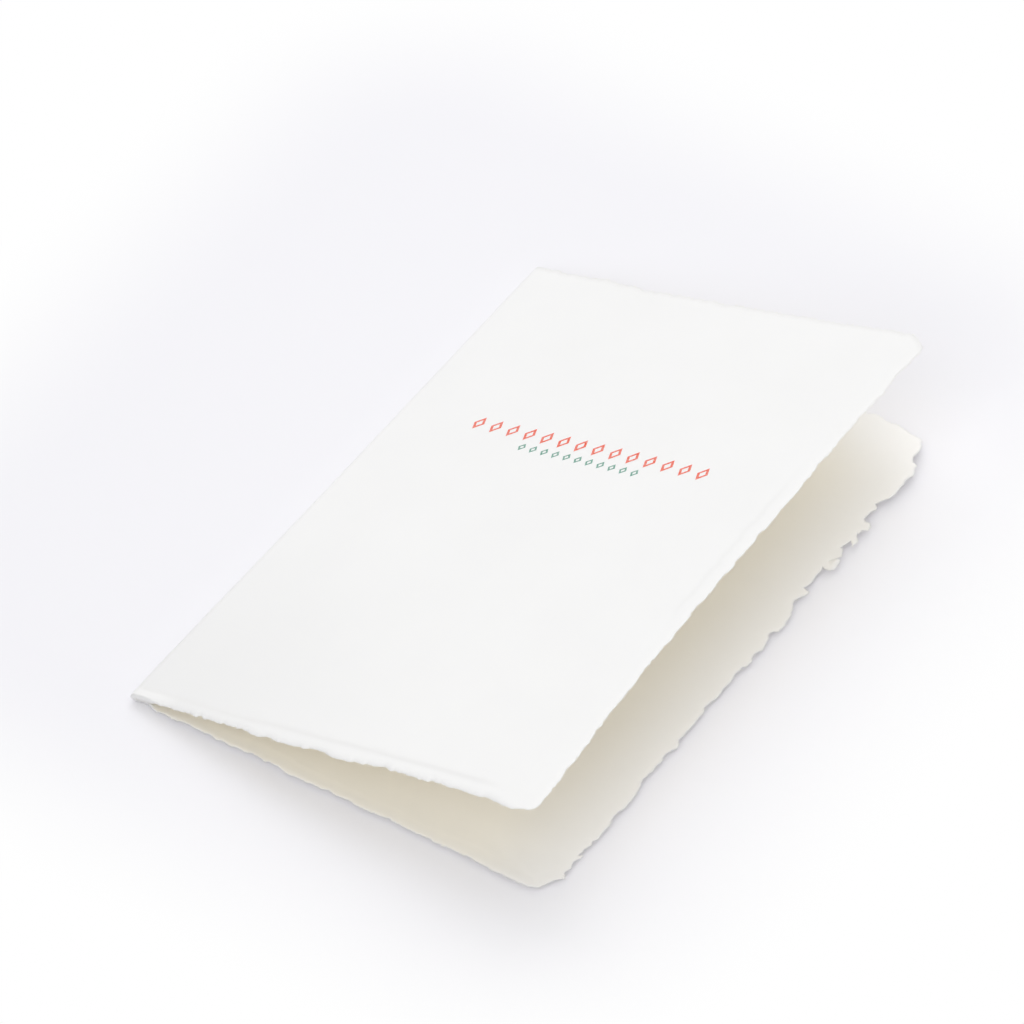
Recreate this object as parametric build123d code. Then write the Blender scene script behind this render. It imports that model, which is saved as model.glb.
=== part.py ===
from build123d import *
import os
from math import cos, pi, radians, sin

# A greeting card of thick handmade paper. It is one sheet, creased once, lying on its
# back panel with the cover sprung a little open. All the outer edges are deckled: they
# thin out towards a torn, wandering line, as paper does that was made in a mould.
# Frame: +X runs from the fold to the free edges, +Y up the fold from foot to head, +Z up.
# The origin is at the bottom centre of the card's bounding box.

# Driving dimensions, in millimetres and degrees
panel_width = 115.0
card_height = 170.0
paper_thickness = 0.5
fold_inner_radius = 0.8
foot_opening = 12.7
head_opening = 14.4

# The deckle: how wide the thinned band is and how thin it gets at the end of the fibres
deckle_band = 3.5
fibre_thickness = 0.2

# The torn line: how far the sheet reaches past its size before it is torn, the pitch of
# its points, the width of a lobe's shoulder, and how coarse and how long its fraying is
tear_allowance = 3.0
tear_pitch = 0.9
lobe_shoulder = 0.9
fray = 0.14
fray_lengths = (2.9, 4.7, 7.9)

# Foot and head edges start straight at the fold, and come to their full tear past it
straight_at_fold = 2.0
fade_from_fold = 5.0

# Corner radii, as the mould rounds them
back_foot_corner = 5.5
back_head_corner = 5.0
cover_foot_corner = 3.5
cover_head_corner = 4.0

# Each torn edge: its bow (how far it stands out at its start, middle and end), its lobes
# (from, to, how far each stands out, or in where negative) and its own fraying.
# Side edges are measured from the foot, foot and head edges from the fold.
back_side = {
    "bow": (0.2, -0.1, 0.0),
    "lobes": [
        (12.5, 14.0, 0.3), (14.6, 17.0, -0.4), (19.0, 27.0, 0.5), (30.0, 38.0, 0.8),
        (39.0, 45.0, -0.6), (50.2, 51.8, -0.6), (52.0, 55.5, 0.8), (66.0, 70.0, -0.5),
        (83.4, 87.0, 1.0), (87.2, 94.4, 0.8), (96.2, 103.0, 1.2), (106.2, 109.0, -0.8),
        (109.4, 111.2, 0.4), (111.6, 119.6, -0.8), (119.8, 122.4, 1.5), (123.4, 127.2, 0.8),
        (127.3, 129.1, -0.6), (129.3, 130.9, 1.4), (131.4, 133.6, 1.4), (135.2, 137.9, 1.6),
        (138.2, 143.0, -0.6), (143.6, 146.4, -0.9), (147.4, 160.8, 1.1), (161.1, 165.0, -1.2),
    ],
    "phase": 0.4,
}
back_foot = {
    "bow": (0.0, -0.1, -0.4),
    "lobes": [
        (8.5, 14.0, 0.1), (22.4, 29.6, 0.4), (32.0, 41.8, -0.3), (42.4, 54.4, 0.3),
        (68.0, 76.0, -0.2), (100.2, 102.4, 0.3),
    ],
    "phase": 2.1,
}
back_head = {
    "bow": (0.0, 0.2, -1.0),
    "lobes": [
        (12.0, 19.0, 0.6), (27.0, 33.0, -0.5), (41.0, 46.0, 0.6), (55.0, 66.0, 0.4),
        (74.0, 78.0, -0.6), (84.0, 92.0, 0.5), (97.0, 101.0, 0.5), (106.0, 108.0, -0.5),
    ],
    "phase": 3.3,
}
cover_side = {
    "bow": (1.4, -0.7, 0.9),
    "lobes": [
        (1.0, 12.0, 0.4), (15.2, 25.6, 0.3), (28.2, 30.0, 0.3), (47.0, 56.0, -0.2),
        (68.2, 74.0, -0.3), (83.6, 86.8, 0.6), (99.2, 135.0, 0.4), (143.0, 162.0, 0.2),
        (164.6, 168.4, 0.5),
    ],
    "phase": 1.2,
}
cover_foot = {
    "bow": (0.0, 0.4, 0.2),
    "lobes": [
        (15.4, 17.8, 0.3), (18.9, 20.2, -0.6), (20.4, 29.0, 0.3), (35.0, 39.4, 0.4),
        (41.8, 51.2, 0.5), (58.6, 67.8, 0.6), (68.8, 75.2, -0.3), (104.4, 113.0, 0.6),
    ],
    "phase": 4.0,
}
cover_head = {
    "bow": (0.0, -0.2, 1.1),
    "lobes": [
        (18.0, 26.0, 0.4), (33.0, 38.0, -0.4), (47.0, 58.0, 0.3), (66.0, 70.0, 0.4),
        (79.0, 86.0, -0.3), (95.0, 104.0, 0.2),
    ],
    "phase": 5.2,
}

# Sizes that follow from these
fold_outer_radius = fold_inner_radius + paper_thickness
mean_opening = (foot_opening + head_opening) / 2


def lobe_height(station, start, end, height):
    """How far one torn lobe stands out at a station, with soft shoulders."""
    inside = (end - start) / 2 - abs(station - (start + end) / 2)
    rise = min(max(inside / lobe_shoulder + 0.5, 0.0), 1.0)
    return height * rise * rise * (3 - 2 * rise)


def tear(edge, station, length):
    """How far a torn edge stands out of its straight line at a station."""
    start, middle, end = edge["bow"]
    share = station / length
    out = start * (1 - share) * (1 - 2 * share)
    out += middle * 4 * share * (1 - share)
    out += end * share * (2 * share - 1)
    for first, last, height in edge["lobes"]:
        out += lobe_height(station, first, last, height)
    for number, wavelength in enumerate(fray_lengths, start=1):
        out += fray * sin(2 * pi * station / wavelength + number * edge["phase"])
    return out


def stations(start, end):
    """Even steps along a straight run, both ends included."""
    count = max(round((end - start) / tear_pitch), 1)
    return [start + (end - start) * index / count for index in range(count + 1)]


def corner(centre_x, centre_y, radius, first_angle, out_before, out_after):
    """Points of one rounded corner, whose tear runs from one edge's into the next's."""
    count = max(round(radius * pi / 2 / tear_pitch), 3)
    points = []
    for index in range(1, count):
        share = index / count
        angle = radians(first_angle + 90 * share)
        reach = radius + out_before * (1 - share) + out_after * share
        points.append((centre_x + reach * cos(angle), centre_y + reach * sin(angle)))
    return points


def torn_outline(foot, side, head, foot_corner, head_corner):
    """A panel's torn line, from the fold along foot, side and head to the fold again."""
    foot_end = panel_width - foot_corner
    head_end = panel_width - head_corner
    side_end = card_height - head_corner

    def grown(x, edge):
        fade = min(max((x - straight_at_fold) / fade_from_fold, 0.0), 1.0)
        return fade * tear(edge, x, panel_width)

    outline = [(x, -grown(x, foot)) for x in stations(0, foot_end)]
    outline += corner(foot_end, foot_corner, foot_corner, -90,
                      grown(foot_end, foot), tear(side, foot_corner, card_height))
    outline += [(panel_width + tear(side, y, card_height), y)
                for y in stations(foot_corner, side_end)]
    outline += corner(head_end, side_end, head_corner, 0,
                      tear(side, side_end, card_height), grown(head_end, head))
    outline += [(x, card_height + grown(x, head)) for x in reversed(stations(0, head_end))]
    return outline


def offcut(outline):
    """The flat shape outside a torn line, on the plane halfway between the panels."""
    margin = 2 * tear_allowance
    left = -margin
    right = panel_width + margin
    head = card_height + margin
    points = [(left, 0), (left, -margin), (right, -margin), (right, head), (left, head)]
    points.append((left, card_height))
    points += reversed(outline)
    slant = 1 / cos(radians(mean_opening / 2))
    flat = [((x - fold_outer_radius) * slant, y) for x, y in points]
    return make_face(Polyline(flat, close=True))


def fold_section(y, opening, thickness):
    """The sheet's section across the fold: two panels and the bend that joins them."""
    rise = radians(opening)
    middle = fold_inner_radius + paper_thickness / 2
    inner = middle - thickness / 2
    outer = middle + thickness / 2
    tip_inner = middle - fibre_thickness / 2
    tip_outer = middle + fibre_thickness / 2
    band_start = panel_width - fold_outer_radius - deckle_band
    tip = panel_width - fold_outer_radius + tear_allowance

    def back(along, depth):
        return Vector(fold_outer_radius + along, y, fold_outer_radius - depth)

    def cover(along, depth):
        x = fold_outer_radius + along * cos(rise) - depth * sin(rise)
        return Vector(x, y, fold_outer_radius + along * sin(rise) + depth * cos(rise))

    def spine(radius):
        x = fold_outer_radius - radius * cos(rise / 2)
        return Vector(x, y, fold_outer_radius - radius * sin(rise / 2))

    return Wire([
        Line(back(tip, tip_outer), back(band_start, outer)).edge(),
        Line(back(band_start, outer), back(0, outer)).edge(),
        ThreePointArc(back(0, outer), spine(outer), cover(0, outer)).edge(),
        Line(cover(0, outer), cover(band_start, outer)).edge(),
        Line(cover(band_start, outer), cover(tip, tip_outer)).edge(),
        Line(cover(tip, tip_outer), cover(tip, tip_inner)).edge(),
        Line(cover(tip, tip_inner), cover(band_start, inner)).edge(),
        Line(cover(band_start, inner), cover(0, inner)).edge(),
        ThreePointArc(cover(0, inner), spine(inner), back(0, inner)).edge(),
        Line(back(0, inner), back(band_start, inner)).edge(),
        Line(back(band_start, inner), back(tip, tip_inner)).edge(),
        Line(back(tip, tip_inner), back(tip, tip_outer)).edge(),
    ])


def folded_sheet():
    """The sheet before its edges are torn: thin along foot and head, full between."""
    sections = []
    for y, thickness in (
        (-tear_allowance, fibre_thickness),
        (deckle_band, paper_thickness),
        (card_height - deckle_band, paper_thickness),
        (card_height + tear_allowance, fibre_thickness),
    ):
        opening = foot_opening + (head_opening - foot_opening) * y / card_height
        sections.append(fold_section(y, opening, thickness))
    return Solid.make_loft(sections, ruled=True)


def card():
    """The whole card: the folded sheet, with each panel torn square to its own face."""
    rise = radians(mean_opening)
    halfway = Plane(
        origin=(fold_outer_radius, 0, fold_outer_radius),
        x_dir=(cos(rise / 2), 0, sin(rise / 2)),
        z_dir=(-sin(rise / 2), 0, cos(rise / 2)),
    )
    back_line = torn_outline(back_foot, back_side, back_head, back_foot_corner, back_head_corner)
    cover_line = torn_outline(
        cover_foot, cover_side, cover_head, cover_foot_corner, cover_head_corner
    )
    out_of_back = (0, 0, -1)
    out_of_cover = (-sin(rise), 0, cos(rise))
    back_waste = extrude(halfway * offcut(back_line), amount=panel_width, dir=out_of_back)
    cover_waste = extrude(halfway * offcut(cover_line), amount=panel_width, dir=out_of_cover)
    torn = folded_sheet() - back_waste - cover_waste
    box = torn.bounding_box()
    return Pos(-box.center().X, -box.center().Y, -box.min.Z) * torn


os.makedirs("parts", exist_ok=True)
export_step(card(), "parts/card.step")
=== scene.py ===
from math import cos, pi, radians, sin

import bpy
import numpy as np
from mathutils import Matrix, Vector, kdtree, noise
from mathutils.geometry import delaunay_2d_cdt

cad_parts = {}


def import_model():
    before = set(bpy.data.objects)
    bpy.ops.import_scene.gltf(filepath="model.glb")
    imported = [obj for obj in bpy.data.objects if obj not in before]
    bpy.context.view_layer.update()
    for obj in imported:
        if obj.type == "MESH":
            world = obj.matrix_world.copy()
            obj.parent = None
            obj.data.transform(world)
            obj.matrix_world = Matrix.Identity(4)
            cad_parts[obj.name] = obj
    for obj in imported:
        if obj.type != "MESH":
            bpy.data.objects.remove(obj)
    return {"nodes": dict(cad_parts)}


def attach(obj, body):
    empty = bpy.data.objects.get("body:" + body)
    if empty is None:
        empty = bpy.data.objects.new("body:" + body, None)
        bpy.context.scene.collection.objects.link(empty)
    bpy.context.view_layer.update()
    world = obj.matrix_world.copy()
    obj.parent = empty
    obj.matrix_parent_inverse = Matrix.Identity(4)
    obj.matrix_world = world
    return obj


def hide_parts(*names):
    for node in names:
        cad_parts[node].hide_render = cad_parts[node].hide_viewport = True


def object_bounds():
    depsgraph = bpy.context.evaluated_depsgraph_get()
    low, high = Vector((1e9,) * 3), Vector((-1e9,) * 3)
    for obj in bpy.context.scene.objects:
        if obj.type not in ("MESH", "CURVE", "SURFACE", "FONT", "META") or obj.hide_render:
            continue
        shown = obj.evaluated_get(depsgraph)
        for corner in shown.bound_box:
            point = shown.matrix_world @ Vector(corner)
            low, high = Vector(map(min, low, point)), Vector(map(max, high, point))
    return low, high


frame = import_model()
cad_low, cad_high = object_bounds()

# The sheet. It is one leaf of mould-made cotton paper, 230 mm wide and 170 mm high when it
# lies flat. Its four edges were torn while the pulp was wet, and it is creased down its
# middle into a back panel and a cover.
mm = 0.001
panel_width = 115.0
paper_thickness = 0.5
fold_inner_radius = 0.8
fold_outer_radius = fold_inner_radius + paper_thickness
foot_opening = 12.7
head_opening = 14.4

# The creased sheet stands straight for its first two millimetres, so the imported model's
# points there say where the foot and the head of the sheet are.
spine = [v.co.y for v in frame["nodes"]["card"].data.vertices if v.co.x < cad_low.x + mm]
foot_line = min(spine)
card_height = (max(spine) - foot_line) / mm

# The torn lines, from the foot of the fold round a panel to its head. Each is given by
# the places where it turns: its lobes, nibs and notches, and the worn corners. Places on
# the sheet are flat ones, in millimetres: from the back of the fold, and up from the foot.
cover_line = [
    (0.0, 0.0), (3.0, 0.0), (5.2, 0.1), (6.6, -0.1), (7.8, -0.2), (8.7, -0.3),
    (11.0, -0.1), (13.0, -0.3), (16.2, -0.1), (17.5, -0.1), (19.8, -0.6), (20.2, 0.0),
    (20.8, 0.1), (21.8, -0.5), (22.5, -0.5), (23.5, -0.2), (27.2, -0.5), (27.5, -0.1),
    (29.0, -0.3), (31.2, -0.1), (32.0, -0.3), (33.0, -0.1), (33.8, -0.4), (35.2, -0.4),
    (36.0, -0.8), (38.2, -1.0), (39.2, -0.8), (40.2, -0.4), (41.5, -0.3), (43.8, -1.0),
    (45.0, -0.8), (46.0, -0.8), (49.0, -0.8), (50.5, -0.4), (51.2, -0.8), (52.5, -0.3),
    (52.8, -0.1), (54.0, 0.1), (56.8, 0.0), (59.5, -0.7), (62.0, -0.8), (62.8, -0.7),
    (64.5, -0.7), (65.8, -0.2), (68.2, -0.4), (69.0, 0.2), (71.0, 0.1), (73.8, 0.8),
    (75.8, 0.1), (76.8, 0.4), (78.0, 0.2), (79.0, 0.6), (80.5, 0.2), (82.5, 0.3),
    (83.8, 0.1), (84.5, 0.3), (86.0, 0.1), (87.5, 0.8), (88.5, 0.4), (90.0, 0.6),
    (92.2, 0.2), (94.5, 0.4), (97.5, 0.2), (101.2, 0.1), (102.2, 0.4), (103.8, 0.2),
    (105.7, -0.1), (107.7, -0.5), (109.4, -0.7), (110.8, -0.9), (112.8, -0.2), (114.6, -0.1),
    (115.7, 0.8), (116.2, 2.5), (116.1, 4.7), (116.1, 6.2), (116.3, 7.0), (116.0, 7.8),
    (116.2, 8.5), (116.0, 9.5), (116.2, 10.8), (115.6, 13.2), (115.6, 15.0), (115.9, 17.2),
    (115.7, 18.0), (115.8, 18.8), (115.6, 19.2), (115.4, 22.8), (115.7, 23.0), (115.1, 26.2),
    (114.7, 27.5), (115.2, 29.0), (114.7, 30.8), (114.6, 36.0), (114.7, 44.0), (114.1, 48.5),
    (114.1, 50.2), (114.4, 50.5), (114.1, 51.5), (114.3, 53.0), (114.2, 57.2), (114.6, 59.5),
    (114.2, 61.5), (114.4, 67.0), (113.9, 69.2), (114.5, 77.8), (114.2, 79.0), (114.1, 82.8),
    (114.7, 84.0), (114.7, 86.2), (114.2, 87.2), (114.7, 93.5), (114.7, 95.5), (114.2, 96.8),
    (114.2, 97.5), (114.3, 98.8), (114.7, 99.0), (114.9, 99.8), (114.7, 106.0), (114.4, 106.8),
    (114.9, 107.5), (114.7, 108.2), (115.1, 113.8), (114.9, 114.8), (114.9, 115.2), (114.7, 117.0),
    (114.9, 119.5), (114.5, 120.8), (114.7, 121.0), (114.8, 121.8), (114.6, 122.2), (114.4, 124.0),
    (114.6, 124.2), (114.5, 126.2), (114.9, 127.0), (114.7, 128.0), (115.1, 128.5), (114.6, 129.5),
    (114.9, 130.5), (114.7, 131.8), (114.7, 135.8), (114.9, 136.8), (114.8, 143.2), (115.1, 144.2),
    (115.4, 149.5), (115.7, 149.8), (115.7, 150.8), (115.4, 151.5), (115.3, 155.9), (114.9, 157.6),
    (115.3, 159.8), (115.7, 161.7), (115.9, 163.5), (115.9, 165.0), (116.1, 167.0), (116.0, 168.4),
    (115.4, 169.4), (114.3, 170.2), (113.2, 170.9), (112.0, 171.8), (110.8, 172.3), (108.6, 172.2),
    (106.5, 172.3), (104.0, 172.3), (101.5, 172.0), (99.0, 171.9), (96.0, 171.5), (93.5, 171.5),
    (90.5, 171.2), (87.0, 171.2), (84.5, 171.0), (82.0, 171.1), (79.5, 170.9), (77.0, 170.9),
    (74.5, 170.6), (72.0, 170.7), (69.0, 170.5), (66.0, 170.5), (63.5, 170.3), (61.5, 170.4),
    (59.6, 170.1), (57.8, 169.7), (54.1, 170.3), (53.2, 170.3), (52.3, 169.9), (51.4, 169.9),
    (50.5, 170.2), (48.7, 169.8), (47.8, 170.0), (46.0, 169.8), (45.1, 170.1), (44.2, 169.9),
    (43.3, 169.4), (41.5, 169.7), (40.6, 169.6), (38.8, 169.8), (37.9, 169.4), (37.0, 169.3),
    (36.1, 169.6), (34.3, 169.0), (33.4, 169.1), (32.5, 169.6), (31.6, 169.7), (30.7, 170.0),
    (29.8, 169.9), (28.9, 169.5), (27.1, 169.8), (26.2, 169.7), (25.3, 170.0), (24.4, 170.1),
    (23.5, 170.0), (21.7, 170.6), (19.9, 169.9), (19.0, 170.1), (17.1, 169.7), (16.2, 169.9),
    (15.3, 169.9), (14.4, 169.7), (12.6, 170.1), (10.8, 169.6), (9.0, 169.7), (7.2, 170.2),
    (5.4, 169.8), (4.5, 170.0), (0.0, 170.0),
]
back_line = [
    (0.0, 0.0), (1.2, 0.4), (2.6, 0.8), (4.4, 0.7), (6.0, 0.0), (7.2, -0.3),
    (9.2, -0.1), (11.7, -0.8), (12.8, -0.8), (14.4, -0.3), (16.0, -0.2), (21.0, -0.4),
    (23.3, -0.3), (24.3, -0.7), (26.5, -0.4), (29.0, -0.6), (29.7, -0.3), (31.0, -0.2),
    (32.3, -0.5), (34.0, 0.1), (37.7, -0.3), (39.7, 0.0), (42.5, -0.2), (43.5, -0.7),
    (44.7, -0.8), (54.5, -0.5), (55.5, -0.1), (56.5, -0.1), (58.3, -0.5), (62.3, -0.4),
    (65.5, -0.7), (68.3, -0.6), (68.7, -0.3), (73.5, -0.2), (80.5, -0.5), (83.3, -0.3),
    (85.0, -0.6), (89.0, -0.3), (93.0, -0.4), (94.3, -0.1), (95.5, -0.4), (100.8, -0.7),
    (103.3, -0.6), (105.5, -0.7), (108.8, -0.7), (111.0, -0.6), (112.2, 0.0), (113.1, 1.1),
    (114.1, 3.0), (114.9, 4.5), (116.1, 5.6), (115.8, 6.6), (115.2, 6.6), (115.8, 8.9),
    (115.6, 10.9), (115.9, 12.9), (116.0, 13.5), (115.2, 13.2), (115.4, 15.4), (116.0, 17.1),
    (115.8, 18.2), (116.4, 19.2), (116.4, 20.2), (115.9, 21.4), (116.2, 22.6), (116.0, 23.8),
    (116.2, 24.2), (116.2, 24.9), (116.0, 25.5), (115.8, 25.9), (115.7, 27.4), (115.8, 28.9),
    (116.0, 29.1), (116.3, 30.4), (116.5, 33.6), (115.9, 36.2), (115.9, 37.2), (115.5, 38.2),
    (115.1, 39.6), (115.3, 42.4), (115.6, 43.2), (115.5, 45.4), (115.8, 47.4), (115.3, 49.6),
    (115.3, 50.2), (115.7, 50.4), (115.9, 51.6), (116.4, 52.2), (116.3, 53.4), (115.3, 54.4),
    (115.4, 55.6), (115.7, 56.6), (115.7, 58.9), (115.9, 60.4), (115.8, 62.2), (115.5, 62.9),
    (115.7, 63.4), (115.8, 65.2), (115.1, 66.6), (115.3, 68.6), (115.9, 69.6), (116.0, 71.3),
    (115.7, 72.4), (115.9, 76.2), (115.9, 76.9), (115.5, 78.4), (115.9, 80.4), (115.7, 81.6),
    (115.7, 81.9), (116.7, 82.6), (116.7, 82.9), (116.6, 84.6), (116.0, 85.8), (116.0, 86.8),
    (116.5, 87.9), (116.8, 88.2), (116.8, 88.6), (116.3, 92.2), (115.6, 93.4), (115.5, 94.2),
    (116.0, 95.2), (117.0, 95.9), (116.8, 96.6), (117.1, 96.9), (117.0, 99.7), (115.8, 103.8),
    (114.6, 105.9), (114.9, 107.3), (116.1, 108.8), (116.5, 109.9), (115.7, 110.1), (114.5, 110.8),
    (115.1, 112.4), (114.9, 114.2), (115.0, 117.8), (114.9, 118.9), (115.9, 118.5), (117.2, 118.5),
    (117.7, 119.5), (117.8, 121.1), (117.4, 122.3), (116.9, 122.5), (115.0, 121.0), (116.7, 122.9),
    (116.6, 124.2), (116.3, 125.4), (115.7, 125.9), (115.1, 126.3), (115.6, 127.7), (116.2, 129.3),
    (116.5, 129.2), (117.4, 127.8), (117.7, 129.1), (117.7, 130.3), (116.9, 131.0), (116.2, 132.2),
    (116.6, 133.6), (118.0, 134.3), (117.8, 135.4), (116.9, 136.4), (115.7, 136.4), (115.2, 136.9),
    (115.0, 139.1), (115.4, 140.2), (116.1, 141.3), (115.3, 142.2), (114.8, 142.6), (115.3, 144.0),
    (116.3, 145.5), (117.0, 145.3), (117.3, 148.0), (117.3, 151.5), (117.3, 153.9), (117.8, 154.8),
    (117.0, 156.6), (116.6, 158.5), (115.5, 158.8), (114.5, 160.1), (114.5, 162.1), (114.4, 163.9),
    (113.2, 166.6), (112.1, 167.2), (110.2, 167.4), (107.9, 168.1), (105.8, 168.9), (103.5, 168.9),
    (101.8, 168.8), (99.4, 169.8), (98.5, 169.8), (97.6, 169.7), (96.7, 169.0), (94.8, 169.6),
    (93.8, 169.3), (92.9, 169.5), (92.0, 170.1), (91.1, 170.3), (89.3, 170.3), (88.4, 170.0),
    (87.5, 169.9), (86.6, 170.4), (85.7, 170.5), (82.0, 169.7), (80.2, 170.0), (79.3, 169.7),
    (78.4, 169.7), (77.5, 169.5), (73.9, 169.6), (73.0, 169.7), (72.1, 170.1), (71.2, 170.2),
    (70.3, 169.9), (68.5, 170.2), (67.6, 170.1), (66.7, 170.2), (65.8, 170.5), (64.9, 170.2),
    (64.0, 170.2), (63.1, 170.6), (62.2, 170.7), (61.3, 170.6), (60.4, 170.7), (58.6, 170.4),
    (57.7, 170.7), (56.8, 170.7), (55.9, 170.3), (55.0, 170.3), (51.4, 170.4), (50.5, 170.0),
    (49.6, 170.0), (48.7, 170.3), (46.9, 170.2), (46.0, 170.6), (45.1, 171.0), (44.2, 170.9),
    (43.3, 171.1), (42.4, 171.0), (40.6, 170.0), (39.7, 170.3), (37.0, 170.5), (36.1, 170.2),
    (35.2, 170.2), (34.3, 170.5), (33.4, 170.3), (32.5, 169.5), (28.9, 170.1), (27.0, 169.7),
    (25.2, 170.3), (23.4, 170.2), (22.5, 170.3), (20.7, 170.3), (18.9, 170.7), (18.0, 170.5),
    (16.2, 170.8), (13.5, 171.0), (11.7, 170.2), (10.8, 170.3), (9.0, 169.9), (5.4, 170.3),
    (3.6, 169.9), (0.0, 170.0),
]

# Loose fibres fray both lines, the cover's less. Each pair is a wavelength and a height.
# By the fold the edges are clean.
fraying = ((2.3, 0.13), (1.2, 0.14), (0.6, 0.12), (0.4, 0.05))
cover_fraying = 0.6
back_fraying = 1.0
clean_at_fold = 3.0
fade_from_fold = 6.0
tear_pitch = 0.22
full_swing = 1.6


def unevenness(places, wavelength, seed):
    """Smooth unevenness between about -1 and 1 at each place."""
    spots = [Vector((x / wavelength, y / wavelength, seed)) for x, y in places]
    return np.array([full_swing * noise.noise(spot) for spot in spots])


def frayed(line, seed, share):
    """A torn line with close points between its turns, moved a little by loose fibres."""
    turns = np.array(line)
    runs = [turns[:1]]
    for start, end in zip(turns, turns[1:]):
        count = max(1, round(np.hypot(*(end - start)) / tear_pitch))
        runs.append(start + (end - start) * np.linspace(0, 1, count + 1)[1:, None])
    path = np.concatenate(runs)
    fade = share * np.clip((path[:, 0] - clean_at_fold) / fade_from_fold, 0, 1)
    moved = path.copy()
    for wavelength, height in fraying:
        for axis in (0, 1):
            own_seed = seed + 5.3 * wavelength + 2.7 * axis
            moved[:, axis] += height * fade * unevenness(path, wavelength, own_seed)
    return moved


# Laid flat, the cover is to the right of the fold and the back panel to the left.
cover_tear = frayed(cover_line, 1.4, cover_fraying)
back_tear = frayed(back_line, 8.2, back_fraying) * (-1, 1)
outline = np.concatenate([cover_tear, back_tear[::-1][1:-1]])

# The mesh of the sheet: a ruled strip for the fold, and panels whose points lie closer
# together towards the torn edge, where the paper gets thin, soft and uneven. Each band has
# the pitch of its points, and the depths from the torn line between which it lies.
point_bands = [
    (0.3, 0.2, 0.9),
    (0.45, 0.9, 1.9),
    (0.7, 1.9, 4.6),
    (1.1, 4.6, 8.5),
    (2.2, 8.5, 200.0),
]
longest_lobe = 3.0
fold_strip = 2.0
fold_column_count = 21
fold_row_pitch = 1.5
fold_end_rows = np.array([0.25, 0.6, 1.1])

to_the_tear = kdtree.KDTree(len(outline))
for number, (x, y) in enumerate(outline):
    to_the_tear.insert((x, y, 0), number)
to_the_tear.balance()


def depths(points):
    """How far each point lies from the torn line."""
    return np.array([to_the_tear.find((x, y, 0))[2] for x, y in points])


def grid(columns, rows, shift=0):
    """The points where columns and rows cross, with every other row shifted."""
    x, y = np.meshgrid(columns, rows)
    x[::2] += shift
    return np.stack([x.ravel(), y.ravel()], 1)


points = [outline]
for pitch, nearest, farthest in point_bands:
    columns = np.arange(-panel_width - longest_lobe, panel_width + longest_lobe, pitch)
    rows = np.arange(-longest_lobe, card_height + longest_lobe, pitch * sin(pi / 3))
    loose = grid(columns, rows, pitch / 2)
    x, y = loose.T
    to_rim = np.minimum(panel_width - abs(x), np.minimum(y, card_height - y))
    loose = loose[(to_rim < farthest + longest_lobe) & (to_rim > nearest - longest_lobe)]
    loose = loose[abs(loose[:, 0]) > fold_strip + pitch / 3]
    depth = depths(loose)
    points.append(loose[(depth >= nearest) & (depth < farthest)])
fold_columns = np.linspace(-fold_strip, fold_strip, fold_column_count)
between_ends = np.arange(1.75, card_height - fold_row_pitch, fold_row_pitch)
fold_rows = [fold_end_rows, between_ends, card_height - fold_end_rows[::-1]]
points.append(grid(fold_columns, np.concatenate(fold_rows)))
points = np.concatenate(points)

inside_the_tear = 1
weld = 1e-5
around = [list(range(len(outline)))]
found = delaunay_2d_cdt([Vector(p) for p in points], [], around, inside_the_tear, weld, True)
flat = np.array([tuple(v) for v in found[0]])
triangles = np.array([f for f, within in zip(found[2], found[5]) if within])
used = np.unique(triangles)
renumber = np.full(len(flat), -1)
renumber[used] = np.arange(len(used))
flat = flat[used]
triangles = renumber[triangles]
first, second, third = [flat[triangles[:, corner]] for corner in range(3)]
face_down = np.cross(second - first, third - first) < 0
triangles[face_down] = triangles[face_down][:, ::-1]

# The edges that only one triangle has are the torn line.
ways = np.concatenate([triangles[:, [0, 1]], triangles[:, [1, 2]], triangles[:, [2, 0]]])
have = set(map(tuple, ways))
torn = np.array([(a, b) for a, b in ways if (b, a) not in have])
rim_points = np.unique(torn)


def smooth(share):
    """A soft rise from 0 to 1."""
    share = np.clip(share, 0, 1)
    return share * share * (3 - 2 * share)


def past(value, start, width):
    """A soft rise from 0 to 1 over a width that begins at a start."""
    return smooth((value - start) / width)


def before(value, end, width):
    """A soft fall from 1 to 0 over a width that stops at an end."""
    return smooth((end - value) / width)


# Thickness. The mould's frame left a band round the sheet where the pulp ran thin: the
# sheet steps down to it over a millimetre, and rounds off towards the torn line. By the
# fold it keeps its full thickness up to the edge.
deckle_band = 3.4
band_wander = 0.5
step_width = 0.9
step_height = 0.08
rim_share = 0.25
rim_round = 1.2
full_by_fold = 4.0
across = abs(flat[:, 0])
up = flat[:, 1]
on_back = flat[:, 0] < 0
on_cover = ~on_back
depth = depths(flat)
depth[rim_points] = 0
edge_of_band = deckle_band + band_wander * unevenness(flat, wavelength=17, seed=4.4)
inland = smooth((depth - edge_of_band) / step_width + 0.5)
rounding = (1 - np.clip(depth / rim_round, 0, 1)) * past(across, full_by_fold, 7)
fullness = rim_share + (1 - rim_share) * np.sqrt(1 - rounding * rounding)
fullness[across < full_by_fold] = 1
half = (paper_thickness / 2 - step_height * (1 - inland)) * fullness
deckle = 1 - smooth(depth / deckle_band)
deckle *= past(across, 3, 10)

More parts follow.
